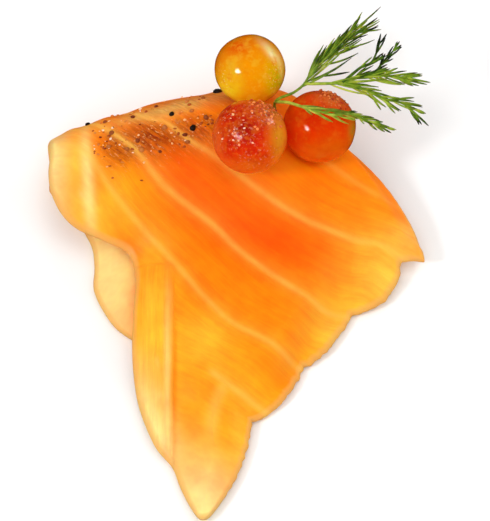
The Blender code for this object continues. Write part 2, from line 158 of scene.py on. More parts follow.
# Finer make of the sheet: rows along each stretch and points round each row
FRONT_ROWS = 215
LOOP_ROWS = 56
BACK_ROWS = 44
OUTER_POINTS = 150
INNER_POINTS = 70
RIM_POINTS = 7
RIM = 0.6
CAP_ROWS = 5

# White lines in the order of SEPTA: width, strength, and the share of the line where it starts to show.
# They show more on browned flesh, but slimmer, and each has a halo: its strength, and times the width
SEPTUM_LOOKS = [(0.5, 0.7, 0.68), (0.48, 0.6, 0), (0.5, 0.66, 0), (0.5, 0.66, 0), (0.5, 0.3, 0)]
SEPTUM_SLIM = 0.35
SEPTUM_FADE_IN = 0.06
HALO = 0.25
HALO_WIDTH = 2.4
SEPTUM_PLAIN, SEPTUM_BROWNED = 0.8, 1.2
# Lines that are only painted: points, width and strength, and the share of each that fades out
FAINT_LINES = [([(-2.6, -14.0), (-3.6, -16.0), (-4.2, -19.0), (-4.5, -24.0)], 0.8, 0.5)]
FAINT_FADE = 0.5
SEPTUM_NOTCH = 0.1
# Fibres: their turn in degrees, the corner left of which they run upright, a layer's width and number
# there, and the reach of the outermost layers
GRAIN_TURN = -40
GRAIN_CREASE = (-9.2, 2.5)
UPRIGHT_LAYER = 5.0
UPRIGHT_NUMBER = 20
OUTER_LAYER = 8.0
# How far the right edge is frayed to the right and up, and the length of a tatter
FRAY = (0.2, -0.14)
FRAY_LENGTH = 0.7
# Relief of the skin: how high and how far apart the swells are, and the crumbs of the browned top
SWELL, SWELL_SCALE = 0.14, 4.5
CRUST, CRUST_SCALE = 0.07, 0.7

# Pepper, as in the solid
PEPPER_PLACES = [
    (0.139, -4.6, 0.9), (0.587, -4.2, 1.3), (0.42, -1.1, 0.8), (0.455, 3.2, 0.9), (0.52, 5.4, 0.8),
]
PEPPER_SCATTER = 16
PEPPER_ACROSS = (0.17, 0.54)
PEPPER_AHEAD = (-4.0, 7.0)
PEPPER_SIZE = (0.55, 0.85)
PEPPER_SPACING = 1.7
PEPPER_SEED = 7
# Tone of the scattered grains, from dark at 0 to light at 1: the least, and how much the others add
PEPPER_TONE = (0.35, 0.65)
# A step that spreads values evenly between 0 and 1 without repeating
GOLDEN_STEP = 0.618
# How uneven a grain is, and how fine its bumps are
LUMP, LUMP_DETAIL = 0.28, 1.3
# Finer bits on the fold and on the red beads, the pale cream specks among them partly painted glints: a band
# of them is so many standard deviations wide
SCATTER_DEVIATIONS = 3.2
SPECKS = 40
SPECK_SIZE = (0.25, 0.55)
SPECK_BAND = ((0.15, 0.58), (-4.5, 7.5))
FLAKES = 95
FLAKE_SIZE = (0.22, 0.55)
FLAKE_BAND = ((0.15, 0.56), (-4.5, 7.0))
SPICE_PATCHES = [("roe_front", (0.4, 0.35, 0.75), 0.55, 85), ("roe_right", (0.35, 0.55, 0.7), 0.5, 60)]
SPICE_SIZE = (0.26, 0.56)
# Patches of pale specks on the front bead, which stand partly for painted glints
SPECK_PATCHES = [("roe_front", (-0.3, -0.42, 0.84), 0.5, 11), ("roe_front", (-0.2, 0.0, 0.9), 0.6, 5)]

# Dill: stems as points, then where up each its leaflets begin, how many there are on a side, their length
# and angle on the left, the same on the right, and how dark the frond is
STEM_RADIUS = 0.22
STEM_TIP = 0.5
STEM_END = 0.9
STEM_STEPS = 30
STEM_WINDOW = 0.06
STEM_TONE = (0.15, 0.3)
STEM_DARKENING = 0.25
TUBE_SIDES = 6
DILL_SEED = 3
FRONDS = [
    ([(4.3, 20.5, 10.8), (3.9, 20.9, 15.4), (6.3, 21.1, 17.5), (7.7, 21.8, 18.6), (8.5, 23.0, 19.2),
      (11.0, 25.5, 20.2), (12.9, 27.3, 20.6), (15.4, 30.4, 20.9)], 0.42, 21, (4.6, 15), (7.2, 34), 0.15),
    ([(7.7, 21.8, 18.6), (10.2, 21.7, 18.8), (12.6, 21.8, 18.9), (14.1, 22.5, 18.8), (17.1, 23.2, 18.2),
      (22.4, 23.7, 16.6)], 0.2, 14, (4.2, 16), (5.6, 22), 0.0),
    ([(12.6, 21.8, 18.9), (14.9, 23.6, 19.6), (16.5, 24.4, 20.0), (17.6, 27.6, 20.2)], 0.35, 4, (2.6, 14),
     (2.8, 20), 0.5),
    ([(14.1, 22.5, 18.8), (16.8, 23.6, 18.6), (17.8, 24.8, 18.9), (19.6, 26.9, 19.1)], 0.35, 4, (2.4, 14),
     (2.6, 18), 0.5),
    ([(12.6, 21.8, 18.9), (15.6, 21.5, 17.5), (18.0, 20.7, 16.5), (20.0, 20.8, 15.5), (21.4, 20.4, 14.5),
      (22.6, 19.7, 13.0)], 0.05, 12, (4.6, 22), (3.8, 20), 0.1),
    ([(3.9, 20.9, 15.4), (5.6, 20.0, 16.8), (7.8, 18.9, 17.4), (9.6, 18.2, 17.7), (11.4, 17.9, 17.4),
      (13.6, 18.6, 16.2), (17.0, 18.7, 13.3), (19.0, 18.3, 12.0)], 0.22, 13, (3.6, 17), (3.2, 19), 0.0),
]
# Leaflets: ranges of radius, of length and angle as shares of the frond's, and of tone
LEAFLET_RADIUS = (0.11, 0.16)
LEAFLET_LENGTH = (0.75, 1.1)
LEAFLET_ANGLE = (0.3, 1.3)
LEAFLET_TONE = (-0.3, 0.35)
LEAFLET_LEAN = 0.25
LEAFLET_TAPER = (0.6, 0.9, 1.0, 1.0, 0.95, 0.75, 0.25)
LEAFLET_FLATNESS = 0.6
LEAFLET_BEND = 0.3
LEAFLET_ROOM = 0.1
LEAFLET_SHORTENING = 0.35
LEAFLET_DARKENING = 0.55
# Forks: share of the leaflets that have one, its length and radius as shares of theirs, its angle
FORKED = 0.25
FORK_LENGTH = 0.6
FORK_RADIUS = 0.9
FORK_ANGLE = (12, 22)
FORK_TONE = 0.1
# Directions of the picture's plane, and the one that the slice is seen from
RIGHTWARDS = Vector((1, 0, 0))
UPWARDS = Vector((0, 0.883, 0.469))
SHOWN_FROM = Vector((0, -0.469, 0.883))

# Colours are written as they show on screen, from 0 to 255.
# Flesh colours, and where each lies on the flattened sheet: middle, half size, turn in degrees, strength;
# some spots are painted light and shade, as noted
DEEP_ORANGE = (243, 92, 0)
ORANGE = (250, 128, 2)
AMBER = (252, 154, 12)
GOLD = (253, 186, 46)
PALE_GOLD = (254, 204, 78)
CREAM = (252, 221, 138)
SHADED = (238, 126, 8)
TAN = (248, 186, 92)
FLESH_SPOTS = [
    (AMBER, (1.0, -15.0), (16.0, 8.0), -25, 0.9),
    (GOLD, (-1.5, -21.5), (6.0, 6.0), 0, 0.8),
    (GOLD, (18.0, 2.4), (7.0, 6.0), 0, 1.0),
    (GOLD, (15.0, -1.5), (5.0, 4.0), 20, 0.9),
    (GOLD, (11.0, -7.0), (4.5, 3.5), 40, 0.7),
    (PALE_GOLD, (19.0, 0.8), (3.8, 4.5), 20, 0.7),
    (PALE_GOLD, (12.6, -5.8), (2.6, 2.2), 40, 0.6),
    (TAN, (22.5, 7.0), (3.0, 2.6), 30, 0.5),
    (GOLD, (-12.0, -9.0), (3.0, 13.0), 0, 1.0),
    (GOLD, (-5.2, -8.4), (3.6, 3.6), 0, 0.8),
    # Cream at the tip and on the lower left margin: partly the flesh's pale margin, partly painted light
    # shining through the thin sheet
    (CREAM, (-5.8, -31.0), (6.0, 6.5), 0, 1.0),
    (CREAM, (-12.2, -19.0), (2.4, 8.0), 22, 0.9),
    # Deep orange in front of the fold: partly the flesh's own deep colour, partly painted shade
    (DEEP_ORANGE, (3.0, 6.5), (11.0, 4.2), -22, 1.0),
    (DEEP_ORANGE, (-7.5, 14.0), (5.5, 4.0), -30, 0.8),
    (AMBER, (-16.0, 11.5), (4.0, 4.5), 0, 0.9),
    (GOLD, (-19.0, 8.5), (3.0, 3.0), 0, 0.8),
    (TAN, (-9.5, 22.9), (7.5, 1.4), 16, 0.95),
    (AMBER, (-2.6, -20.5), (1.6, 4.5), 8, 0.7),
    # A pale strip and a darker strip on either side of the first crease: painted light and painted shade of
    # the pleat
    (CREAM, (-10.0, -12.5), (0.45, 9.0), 0, 0.5),
    (SHADED, (-9.0, -12.5), (0.3, 9.0), 0, 0.7),
    (GOLD, (-22.0, 14.0), (2.2, 9.0), 0, 0.8),
    (CREAM, (-20.4, 13.0), (0.8, 8.0), 4, 0.8),
    # Cream at the far left end: partly the pale margin, partly painted light shining through the thin sheet
    (CREAM, (-25.6, 16.0), (2.4, 14.0), 0, 1.0),
]
# Cream on the left margin of the layer underneath: partly the pale margin, partly painted light shining
# through the thin sheet
UNDER_SPOTS = [(CREAM, (-18.5, 4.0), (7.0, 18.0), 0, 0.95)]
SEARED = [((-12.2, 18.2), (4.0, 3.0), 0, 1.0), ((-15.8, 17.2), (2.8, 2.8), 0, 1.0),
          ((-7.0, 19.0), (5.0, 2.6), 10, 0.8), ((-7.0, 24.0), (12.0, 2.4), 12, 0.5)]
# Colours on each bead, by place on its disk as seen: right and up from its middle in radii, half size,
# turn in degrees, strength. Besides the beads' own colours they hold painted light: glow where light shines
# through
BEAD_BASE = {
    "roe_front": (250, 36, 2),
    "roe_top": (255, 146, 0),
    "roe_right": (255, 52, 0),
}
BEAD_COLOUR_AND_LIGHT_SPOTS = {
    "roe_front": [
        # The bright bottom and the bright right rim are painted glow of light shining through the bead
        ((250, 96, 4), (0.1, -0.85), (1.0, 0.28), 0, 0.95),
        ((246, 88, 16), (-0.86, 0.0), (0.2, 0.6), 0, 0.9),
        ((255, 178, 20), (0.8, 0.0), (0.24, 0.65), 0, 1.0),
        ((252, 128, 40), (0.42, 0.62), (0.42, 0.26), -30, 0.8),
        ((150, 0, 4), (-0.15, 0.2), (0.45, 0.4), 0, 0.85),
    ],
    "roe_right": [
        # The bright lower side and the right rim are painted glow of light shining through the bead
        ((222, 116, 40), (0.4, 0.75), (0.5, 0.24), -15, 0.9),
        ((168, 140, 16), (0.92, -0.2), (0.14, 0.5), 0, 1.0),
        ((255, 104, 2), (0.3, -0.6), (0.7, 0.28), 10, 0.8),
        ((222, 16, 2), (-0.2, 0.2), (0.45, 0.3), 0, 0.5),
    ],
    "roe_top": [
        # The yellow lower left and the green-yellow right are painted glow of light through the bead; the
        # pale streaks at the upper right are painted light
        ((238, 66, 2), (-0.35, 0.62), (0.5, 0.3), 15, 1.0),
        ((232, 104, 4), (-0.9, 0.3), (0.16, 0.4), 0, 0.8),
        ((255, 230, 10), (-0.62, -0.6), (0.36, 0.36), -40, 1.0),
        ((168, 186, 0), (0.76, -0.3), (0.32, 0.6), 0, 1.0),
        ((255, 246, 160), (0.6, 0.46), (0.36, 0.1), -48, 1.0),
        ((255, 240, 120), (0.86, 0.05), (0.05, 0.3), 8, 0.9),
        ((120, 66, 8), (0.45, 0.9), (0.4, 0.07), -28, 0.9),
        ((254, 196, 20), (-0.45, -0.1), (0.2, 0.4), 0, 0.7),
    ],
}
# How far behind its visible edge a bead's spots reach, and where its skin is grainy, its pale grains there
# partly
# painted glints: middle, half size and strength
BEAD_WRAP = 0.7
BEAD_GRAINS_AND_GLINTS = {
    "roe_front": [((-0.3, 0.05), (0.45, 0.35), 1.0), ((-0.6, 0.6), (0.3, 0.25), 1.0),
                  ((0.4, 0.6), (0.5, 0.35), 1.0), ((0.2, -0.5), (0.5, 0.3), 0.5)],
    "roe_right": [((0.4, 0.75), (0.5, 0.25), 0.9)],
    "roe_top": [((0.7, -0.1), (0.2, 0.5), 0.8), ((-0.7, -0.3), (0.15, 0.3), 0.8)],
}
# Greens of the dill, from palest to darkest; the palest stands partly for painted highlights on the leaves
DILL_GREENS = [(186, 196, 70), (122, 152, 30), (72, 106, 14), (20, 34, 12)]
# Dark, light and pale grains in each bead's skin; the pale grains are partly painted glints
BEAD_TONES = {
    "roe_front": ((150, 2, 6), (255, 112, 14), (255, 206, 170)),
    "roe_right": ((206, 26, 4), (255, 104, 10), (252, 190, 100)),
    "roe_top": ((236, 96, 4), (252, 196, 30), (255, 240, 130)),
}
# Loose grains: dark, middle and light colour, and roughness
GRAIN_LOOKS = {
    "pepper": ((22, 16, 12), (128, 52, 18), (206, 122, 56), 0.5),
    "brown_spice": ((128, 46, 10), (186, 84, 20), (222, 130, 50), 0.5),
    "cream_specks_and_glints": ((250, 170, 92), (255, 206, 150), (255, 226, 200), 0.3),
    "bead_spice": ((176, 58, 18), (214, 98, 34), (242, 150, 78), 0.6),
}
SEPTUM_COLOUR = (254, 196, 86)
SEARED_COLOUR = (148, 48, 2)
# Painted glints on the browned top
GLINT_COLOUR = (255, 206, 140)
RIM_COLOUR = (228, 170, 90)


def linear(colour):
    """A colour as it shows on screen, turned into the light values that a shader takes, fully opaque."""
    shares = [c / 255 for c in colour]
    return (*(s / 12.92 if s <= 0.04045 else ((s + 0.055) / 1.055) ** 2.4 for s in shares), 1.0)


def smooth_step(x):
    x = np.clip(x, 0.0, 1.0)
    return x * x * (3.0 - 2.0 * x)


def noise_values(places, scale, seed):
    """Smooth random values from about -1 to 1 at each place, at a scale in millimetres."""
    start = Vector((seed * 17.3, seed * 5.1, seed * 9.7))
    return np.array([noise.noise(Vector(p) / scale + start) for p in places])


def value_at(knots, x):
    """The smooth curve through (place, value) knots, read at x and held flat past its ends."""
    places, values = np.array(knots, float).T
    count = len(places)
    before = np.maximum(np.arange(count) - 1, 0)
    after = np.minimum(np.arange(count) + 1, count - 1)
    slopes = (values[after] - values[before]) / (places[after] - places[before])
    x = np.clip(x, places[0], places[-1])
    i = np.clip(np.searchsorted(places, x), 1, count - 1)
    span = places[i] - places[i - 1]
    t = (x - places[i - 1]) / span
    start = (2 * t**3 - 3 * t**2 + 1) * values[i - 1] + (t**3 - 2 * t**2 + t) * span * slopes[i - 1]
    return start + (3 * t**2 - 2 * t**3) * values[i] + (t**3 - t**2) * span * slopes[i]


def curve_through(points, steps=10):
    """Points of a Catmull-Rom curve through the given points, as an array."""
    points = np.array(points, float)
    ends = np.vstack([2 * points[0] - points[1], points, 2 * points[-1] - points[-2]])
    made = []
    for a, b, c, d in zip(ends, ends[1:], ends[2:], ends[3:]):
        for k in range(steps):
            t = k / steps
            bend = (2 * a - 5 * b + 4 * c - d) * t**2 + (3 * b - a - 3 * c + d) * t**3
            made.append(b + 0.5 * ((c - a) * t + bend))
    return np.array([*made, points[-1]])


class Path:
    """A line of points that can be read at shares of its length, all at once."""

    def __init__(self, points):
        self.points = np.array(points, float)
        steps = np.linalg.norm(np.diff(self.points, axis=0), axis=1)
        self.along = np.concatenate([[0.0], np.cumsum(steps)])
        self.length = self.along[-1]

    def at(self, share):
        goal = np.clip(share, 0.0, 1.0) * self.length
        return np.stack([np.interp(goal, self.along, axis) for axis in self.points.T], axis=-1)

    def nearest(self, places):
        """Distance of each place to the line, share of its length there, and side: 1 left, -1 right."""
        best = np.full(len(places), 1e9)
        share, side = np.zeros(len(places)), np.ones(len(places))
        for i, (a, b) in enumerate(zip(self.points, self.points[1:])):
            run = b - a
            t = np.clip((places - a) @ run / (run @ run), 0.0, 1.0)
            away = places - a - t[:, None] * run
            distance = np.linalg.norm(away, axis=1)
            closer = distance < best
            best[closer] = distance[closer]
            reached = (self.along[i] + np.linalg.norm(run) * t) / self.length
            share[closer] = reached[closer]
            turned = np.where(run[0] * away[:, 1] - run[1] * away[:, 0] > 0, 1.0, -1.0)
            side[closer] = turned[closer]
        return best, share, side


def lobed_edge(lobes, end, steps=14):
    """The right edge: a bent line from each notch to the next, bulging outwards."""
    made = []
    stops = [np.array(lobe[0], float) for lobe in lobes] + [np.array(end, float)]
    for a, b, (_, bulge, peak) in zip(stops, stops[1:], lobes):
        outwards = np.array([b[1] - a[1], a[0] - b[0]])
        corner = a + (b - a) * peak + outwards / np.linalg.norm(outwards) * bulge * 2
        for k in range(steps):
            t = k / steps
            made.append(a * (1 - t) ** 2 + corner * 2 * t * (1 - t) + b * t**2)
    return np.array([*made, stops[-1]])


LEFT = Path(curve_through([*LEFT_EDGE, (FOLD_LEFT, value_at(RIDGE, FOLD_LEFT))]))
RIGHT = Path(lobed_edge(RIGHT_LOBES, (FOLD_RIGHT, value_at(RIDGE, FOLD_RIGHT))))
UNDER_LEFT = Path(curve_through(BACK_LEFT))
UNDER_RIGHT = Path(curve_through(BACK_RIGHT))
SEPTUM_PATHS = [Path(curve_through(points, 4)) for points in SEPTA]
CREASE_PATHS = [(Path(curve_through(points, 4)), height, width) for points, height, width in CREASES]


def ridge_bow(x_left, x_right, x):
    share = (x - x_left) / (x_right - x_left)
    return value_at(RIDGE, x) - value_at(RIDGE, x_left) * (1 - share) - value_at(RIDGE, x_right) * share


def upper_place(across, along):
    """Plan positions on the upper layer, for shares from left to right and from the tip to the fold."""
    left, right = LEFT.at(along), RIGHT.at(along)
    tatters = noise_values(np.column_stack([along * RIGHT.length, along * 0, along * 0]), FRAY_LENGTH, 3)
    right = right + tatters[:, None] * np.array(FRAY) * smooth_step(along / TIP_SHARE)[:, None]
    place = left + (right - left) * across[:, None]
    middle = 4 * across * (1 - across)
    width = np.linalg.norm(right - left, axis=1)
    arch = ROW_ARCH * width * smooth_step(along / ARCH_RISE) * smooth_step((1 - along) / ARCH_FALL)
    place[:, 1] += middle * (arch - TIP_REACH * smooth_step(1 - along / TIP_SHARE))
    bow = ridge_bow(left[:, 0], right[:, 0], place[:, 0])
    place[:, 1] += bow * smooth_step(1 - (1 - along) / BOW_SHARE)
    return place, width


def under_place(across, along):
    """Plan positions on the layer underneath, from the fold to its hidden front end."""
    left, right = UNDER_LEFT.at(along), UNDER_RIGHT.at(along)
    place = left + (right - left) * across[:, None]
    bow = ridge_bow(left[:, 0], right[:, 0], place[:, 0])
    place[:, 1] += bow * smooth_step(1 - along / BACK_BOW_SHARE)
    place[:, 1] -= BACK_REACH * np.sin(np.pi * across) * smooth_step(1 - (1 - along) / BACK_BOW_SHARE)
    return place, np.linalg.norm(right - left, axis=1)


def edge_share(across, width, end_distance):
    side = np.minimum(across, 1 - across) * width
    return smooth_step(np.minimum(side, end_distance) / EDGE_TAPER)


def sheet_thickness(edge):
    return EDGE_THICKNESS + (THICKNESS - EDGE_THICKNESS) * edge


def carried_height(place):
    past_front = value_at(CARRIED_FRONT, place[:, 0]) - place[:, 1]
    past_side = place[:, 0] - value_at(CARRIED_SIDE, place[:, 1])
    carried = smooth_step(1 - past_front / FRONT_FALL) * smooth_step(1 - past_side / SIDE_FALL)
    return (THICKNESS + LAYER_GAP) * carried


def crease_height(place):
    height = np.zeros(len(place))
    for path, swell, width in CREASE_PATHS:
        distance, share, side = path.nearest(place)
        fade = smooth_step(np.minimum(share, 1 - share) * path.length / CREASE_FADE)
        reach = distance / np.where(side < 0, width, CREASE_STEEP_SIDE * width)
        height += swell * fade * reach * np.exp(1 - reach) * np.where(side < 0, 1, -CREASE_DIP)
    return height


def septum_distance(flat):
    return np.min([path.nearest(flat)[0] for path in SEPTUM_PATHS], axis=0)


def grain_places(flat):
    """Place along the white lines, and the muscle layer there, rising by 1 from line to line."""
    turn = math.radians(GRAIN_TURN)
    along = flat[:, 0] * math.cos(turn) + flat[:, 1] * math.sin(turn)
    distances, _, sides = map(np.array, zip(*[path.nearest(flat) for path in SEPTUM_PATHS]))
    passed = np.minimum(np.cumprod(sides > 0, axis=0).sum(axis=0), len(SEPTUM_PATHS))
    beyond = np.full(len(flat), OUTER_LAYER)
    padded = np.vstack([beyond, distances, beyond])
    columns = np.arange(len(flat))
    below, next_one = padded[passed, columns], padded[passed + 1, columns]
    layer = passed + below / (below + next_one)
    upright = (flat[:, 0] < GRAIN_CREASE[0]) & (flat[:, 1] < GRAIN_CREASE[1])
    upright_layer = UPRIGHT_NUMBER + flat[:, 0] / UPRIGHT_LAYER
    return np.where(upright, flat[:, 1], along), np.where(upright, upright_layer, layer)


def septum_groove(distance):
    return SEPTUM_DEPTH * np.exp(-((distance / SEPTUM_WIDTH) ** 2))


def upper_layer(across, along, depth):
    """Points of the upper layer, from its outer face at depth 0 to its inner one at 1, with the place of
    each on the flattened sheet and its share of the full thickness, 0 at the sheet's edge."""
    place, width = upper_place(across, along)
    edge = edge_share(across, width, along * LEFT.length)
    ramp = value_at(RAMP, value_at(RIDGE, place[:, 0]) - place[:, 1])
    carried = carried_height(place)
    top_of_fold = 2 * value_at(LOOP_RADIUS, place[:, 0]) - THICKNESS
    distance = septum_distance(place)
    near_edge = 1 - smooth_step((1 - across) * width / LOBE_LIFT_REACH)
    lift = LOBE_LIFT * near_edge * smooth_step(distance / LOBE_HALF_WIDTH)
    under = carried + (top_of_fold - carried) * ramp + (crease_height(place) + lift) * (1 - ramp)
    groove = septum_groove(distance) * edge
    height = np.maximum(under, 0.0) + (sheet_thickness(edge) - groove) * (1 - depth)
    return np.column_stack([place, height]), place, edge


def loop_layer(across, degrees, depth):
    """Points of the fold's back, at an angle from its top."""
    x_left, x_right = value_at(LOOP_LEFT, degrees), value_at(LOOP_RIGHT, degrees)
    x = x_left + (x_right - x_left) * across
    edge = edge_share(across, x_right - x_left, EDGE_TAPER)
    thickness = sheet_thickness(edge)
    radius = value_at(LOOP_RADIUS, x) - (THICKNESS - thickness) / 2
    angle = np.radians(degrees)
    flat = np.column_stack([x, value_at(RIDGE, x) + radius * angle])
    shown = edge * smooth_step((GROOVE_END - degrees) / GROOVE_FADE)
    groove = septum_groove(septum_distance(flat)) * shown
    reach = radius - groove * (1 - depth) - thickness * depth
    points = [x, value_at(RIDGE, x) + reach * np.sin(angle), radius + reach * np.cos(angle)]
    return np.column_stack(points), flat, edge


def turned_under(place):
    """Places on the layer underneath as places on the flattened sheet, or the other way round."""
    behind = 2 * value_at(RIDGE, place[:, 0]) + np.pi * value_at(LOOP_RADIUS, place[:, 0])
    return np.column_stack([place[:, 0], behind - place[:, 1]])


def under_layer(across, along, depth):
    """Points of the layer underneath, whose outer face is the flat one that the slice rests on."""
    place, width = under_place(across, along)
    edge = edge_share(across, width, (1 - along) * UNDER_LEFT.length)
    return np.column_stack([place, sheet_thickness(edge) * depth]), turned_under(place), edge


def seated(points):
    """Points pushed clear of the beads, with the flesh round each one easing down into its seat."""
    for centre, radius in BEADS.values():
        away = points - np.array(centre)
        distance = np.linalg.norm(away, axis=1)
        wanted = radius + CLEARANCE
        reach = distance - wanted
        eased = wanted + SEAT_SOFTNESS * np.exp((reach - SEAT_SOFTNESS) / SEAT_SOFTNESS)
        near = reach < SEAT_SOFTNESS
        moved = np.array(centre) + away * (np.maximum(eased, wanted) / distance)[:, None]
        points = np.where(near[:, None], moved, points)
    return points


def row_ring(width):
    """Shares across and depths round one row's closed outline, with its rims rounded."""
    rim = RIM / width
    turn = np.radians(np.linspace(-90, 90, RIM_POINTS + 2)[1:-1])
    outer = rim + (1 - 2 * rim) * np.linspace(0, 1, OUTER_POINTS)
    inner = rim + (1 - 2 * rim) * np.linspace(1, 0, INNER_POINTS)
    across = [outer, 1 - rim * (1 - np.cos(turn)), inner, rim * (1 - np.cos(turn))]
    rounded = (1 + np.sin(turn)) / 2
    depth = [np.zeros(OUTER_POINTS), rounded, np.ones(INNER_POINTS), 1 - rounded]
    return np.concatenate(across), np.concatenate(depth)


def sheet_rows():
    """Each row of the sheet: the layer it is on, its share or angle there and how thick it is left."""
    start, stop = RIM / LEFT.length, 1 - RIM / UNDER_LEFT.length
    cap = np.radians(np.linspace(90, 0, CAP_ROWS + 1)[:-1])
    rows = [(upper_layer, start * (1 - math.sin(turn)), math.cos(turn)) for turn in cap]
    rows += [(upper_layer, start + (1 - start) * k / FRONT_ROWS, 1.0) for k in range(FRONT_ROWS + 1)]
    rows += [(loop_layer, 180 * k / LOOP_ROWS, 1.0) for k in range(1, LOOP_ROWS + 1)]
    rows += [(under_layer, stop * k / BACK_ROWS, 1.0) for k in range(1, BACK_ROWS + 1)]
    rows += [(under_layer, stop + (1 - stop) * math.sin(turn), math.cos(turn)) for turn in cap[::-1]]
    return rows


def row_width(layer, share):
    if layer is loop_layer:
        return float(value_at(LOOP_RIGHT, share) - value_at(LOOP_LEFT, share))
    left, right = (LEFT, RIGHT) if layer is upper_layer else (UNDER_LEFT, UNDER_RIGHT)
    return float(np.linalg.norm(right.at(share) - left.at(share)))


def spot_strength(flat, middle, half_size, turn):
    """1 in the middle of an ellipse, falling softly to 0 outside it."""
    angle = math.radians(turn)
    away = flat - np.array(middle)
    u = away[:, 0] * math.cos(angle) + away[:, 1] * math.sin(angle)
    v = away[:, 1] * math.cos(angle) - away[:, 0] * math.sin(angle)
    return np.exp(-((u / half_size[0]) ** 2 + (v / half_size[1]) ** 2))


def painted_over(tint, spots, places, shown):
    """Lays soft spots of colour over a tint, where shown is 1 and not where it is 0."""
    for colour, middle, half_size, turn, strength in spots:
        share = spot_strength(places, middle, half_size, turn) * strength * shown
        tint = tint + (np.array(linear(colour)) - tint) * share[:, None]
    return tint


def flesh_tint(flat, underneath):
    tint = np.tile(linear(ORANGE), (len(flat), 1))
    tint = painted_over(tint, FLESH_SPOTS, flat, 1 - underneath)
    return painted_over(tint, UNDER_SPOTS, turned_under(flat), underneath)


def seen_on_disk(directions):
    """Right and up on a bead's disk as the picture shows it, for directions from its middle."""
    return np.column_stack([directions @ np.array(axis) for axis in (RIGHTWARDS, UPWARDS)])


# Kind of attribute and its field, by how many numbers each point has in it
ATTRIBUTE_KINDS = {1: ("FLOAT", "value"), 3: ("FLOAT_VECTOR", "vector"), 4: ("FLOAT_COLOR", "color")}


def set_attributes(mesh, named_values):
    for name, values in named_values.items():
        values = np.array(values, np.float32)
        kind, field = ATTRIBUTE_KINDS[values.size // len(values)]
        mesh.attributes.new(name, kind, "POINT").data.foreach_set(field, values.ravel())


SHIFT = sum(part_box("roe_front"), Vector()) / 2 - Vector(BEADS["roe_front"][0]) * MM
SHIFT.z = 0


def new_piece(name, points, faces, material):
    """A mesh object from plan points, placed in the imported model's frame."""
    mesh = bpy.data.meshes.new(name)
    placed = np.array(points) * MM + np.array(SHIFT)
    mesh.from_pydata(placed.tolist(), [], faces)
    mesh.validate()
    mesh.update()
    mesh.shade_smooth()
    mesh.materials.append(material)
    piece = bpy.data.objects.new(name, mesh)
    bpy.context.scene.collection.objects.link(piece)
    return piece


def ring_faces(rows, ring, start=0):
    """Quads between neighbouring closed rings of points, with the first and last ring filled."""
    faces = []
    last = start + (rows - 1) * ring
    for a in range(start, last, ring):
        b = a + ring
        for k in range(ring):
            n = (k + 1) % ring
            faces.append((a + k, a + n, b + n, b + k))
    faces.append(tuple(range(start, start + ring))[::-1])
    faces.append(tuple(range(last, last + ring)))
    return faces


def make_flesh():
    """The folded sheet: closed rings of points from the tip, over the fold, to the end underneath."""
    rings = []
    for layer, share, press in sheet_rows():
        across, depth = row_ring(row_width(layer, share))
        bare, flat, edge = layer(across, np.full(len(across), share), 0.5 + (depth - 0.5) * press)
        points = np.where((depth < 0.5)[:, None], seated(bare), bare)
        rings.append((points, flat, edge, depth, np.full(len(across), float(layer is under_layer))))
    points, flats, edges, depths, unders = map(np.concatenate, zip(*rings))

    faces = [face[::-1] for face in ring_faces(len(rings), len(points) // len(rings))]
    piece = new_piece("salmon_flesh", points, faces, flesh_material())
    mesh = piece.data

    septum = np.zeros(len(points))
    seared = np.zeros(len(points))
    for middle, half_size, turn, strength in SEARED:
        seared = np.maximum(seared, strength * spot_strength(flats, middle, half_size, turn))
    seared = seared * (depths < 0.5)
    for path, (width, strength, start) in zip(SEPTUM_PATHS, SEPTUM_LOOKS):
        distance, share, _ = path.nearest(flats)
        near = distance / (width * (1 - SEPTUM_SLIM * seared))
        line = np.maximum(np.exp(-(near**2)), HALO * np.exp(-((near / HALO_WIDTH) ** 2)))
        browned = SEPTUM_PLAIN + (SEPTUM_BROWNED - SEPTUM_PLAIN) * seared
        shown = strength * browned * smooth_step((share - start) / SEPTUM_FADE_IN + 1)
        septum = np.maximum(septum, line * shown)
    painted = septum
    for line, width, strength in FAINT_LINES:
        distance, share, _ = Path(curve_through(line, 4)).nearest(flats)
        fade = strength * smooth_step((1 - share) / FAINT_FADE)
        painted = np.maximum(painted, fade * np.exp(-((distance / width) ** 2)))

    flat3 = np.column_stack([flats, depths * THICKNESS])
    swell = noise_values(flat3, SWELL_SCALE, 1) * SWELL
    crust = noise_values(flat3, CRUST_SCALE, 2) * CRUST * seared
    shown = smooth_step(edges * 2) * (depths < 0.5) * (1 - unders)
    relief = (swell + crust - SEPTUM_NOTCH * septum) * shown
    normals = np.empty(len(points) * 3, np.float32)
    mesh.vertex_normals.foreach_get("vector", normals)
    placed = points + normals.reshape(-1, 3) * relief[:, None]
    placed[:, 2] = np.maximum(placed[:, 2], 0)
    mesh.vertices.foreach_set("co", (placed * MM + np.array(SHIFT)).astype(np.float32).ravel())
    mesh.update()

    set_attributes(mesh, {
        "grain": np.column_stack([*grain_places(flats), depths]),
        "flat": flat3,
        "tint": flesh_tint(flats, unders),
        "septum": painted,
        "seared": seared,
        "edge": edges,
    })
    return piece


def round_ball(detail):
    """Points and faces of a ball of radius 1 about the origin."""
    ball = bmesh.new()
    bmesh.ops.create_icosphere(ball, subdivisions=detail, radius=1)
    points = [vertex.co.copy() for vertex in ball.verts]
    faces = [tuple(vertex.index for vertex in face.verts) for face in ball.faces]
    ball.free()
    return points, faces


